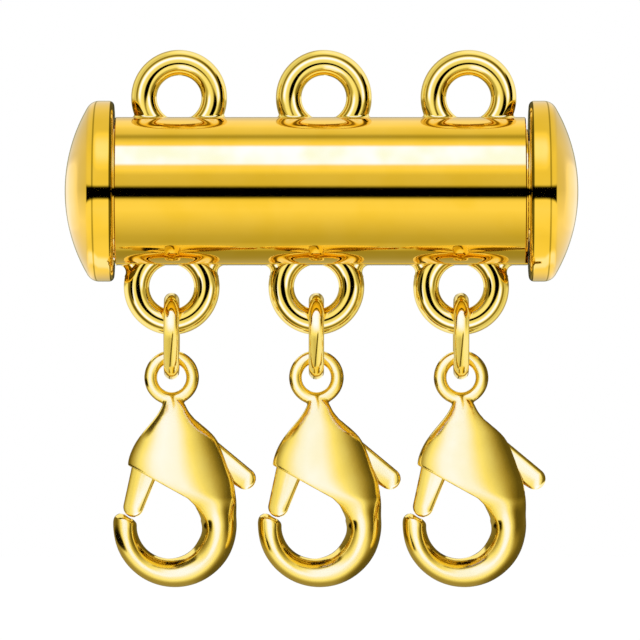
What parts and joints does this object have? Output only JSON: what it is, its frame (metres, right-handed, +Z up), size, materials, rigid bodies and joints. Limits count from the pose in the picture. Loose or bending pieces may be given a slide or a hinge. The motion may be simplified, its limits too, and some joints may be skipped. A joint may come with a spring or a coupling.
{
  "type": "multi-strand slide clasp with lobster claws",
  "caption": "Slide clasp of a slotted tube and a sliding tube with domed caps, strand loops above, and lobster claws on jump rings below.",
  "frame": {"origin": "centre of the middle upper loop's hole, where the clasp hangs", "axes": "+Z up, +X along the tube towards the pull-out end, -Y towards the viewer"},
  "size_m": [0.022, 0.0078, 0.0231],
  "materials": {
    "case_gold": "polished gold plate",
    "ring_gold": "polished gold plate",
    "claw_gold": "satin gold plate"
  },
  "bodies": {
    "case": {"outer_tube": "case_gold", "outer_cap": "case_gold"},
    "slider": {"inner_tube": "case_gold", "inner_cap": "case_gold"},
    "drop_1": {"jump_ring_1": "ring_gold", "claw_body_1": "claw_gold"},
    "lever_1": {"claw_lever_1": "claw_gold"},
    "drop_2": {"jump_ring_2": "ring_gold", "claw_body_2": "claw_gold"},
    "lever_2": {"claw_lever_2": "claw_gold"},
    "drop_3": {"jump_ring_3": "ring_gold", "claw_body_3": "claw_gold"},
    "lever_3": {"claw_lever_3": "claw_gold"}
  },
  "joints": [
    {"name": "lock_slide", "type": "slide", "parent": "case", "child": "slider", "axis": [1, 0, 0], "range_m": [0, 0.019]},
    {"name": "swing_1", "type": "hinge", "parent": "slider", "child": "drop_1", "pos_m": [-0.00652, 0, -0.0096], "axis": [1, 0, 0], "range_deg": [-90, 90]},
    {"name": "lever_turn_1", "type": "hinge", "parent": "drop_1", "child": "lever_1", "pos_m": [-0.00669, 0, -0.01452], "axis": [0, -1, 0], "range_deg": [0, 25], "stiffness_Nm_per_rad": 0.002},
    {"name": "swing_2", "type": "hinge", "parent": "slider", "child": "drop_2", "pos_m": [-0.00032, 0, -0.0096], "axis": [1, 0, 0], "range_deg": [-90, 90]},
    {"name": "lever_turn_2", "type": "hinge", "parent": "drop_2", "child": "lever_2", "pos_m": [-0.00049, 0, -0.01452], "axis": [0, -1, 0], "range_deg": [0, 25], "stiffness_Nm_per_rad": 0.002},
    {"name": "swing_3", "type": "hinge", "parent": "slider", "child": "drop_3", "pos_m": [0.00588, 0, -0.0096], "axis": [1, 0, 0], "range_deg": [-90, 90]},
    {"name": "lever_turn_3", "type": "hinge", "parent": "drop_3", "child": "lever_3", "pos_m": [0.00571, 0, -0.01452], "axis": [0, -1, 0], "range_deg": [0, 25], "stiffness_Nm_per_rad": 0.002}
  ]
}
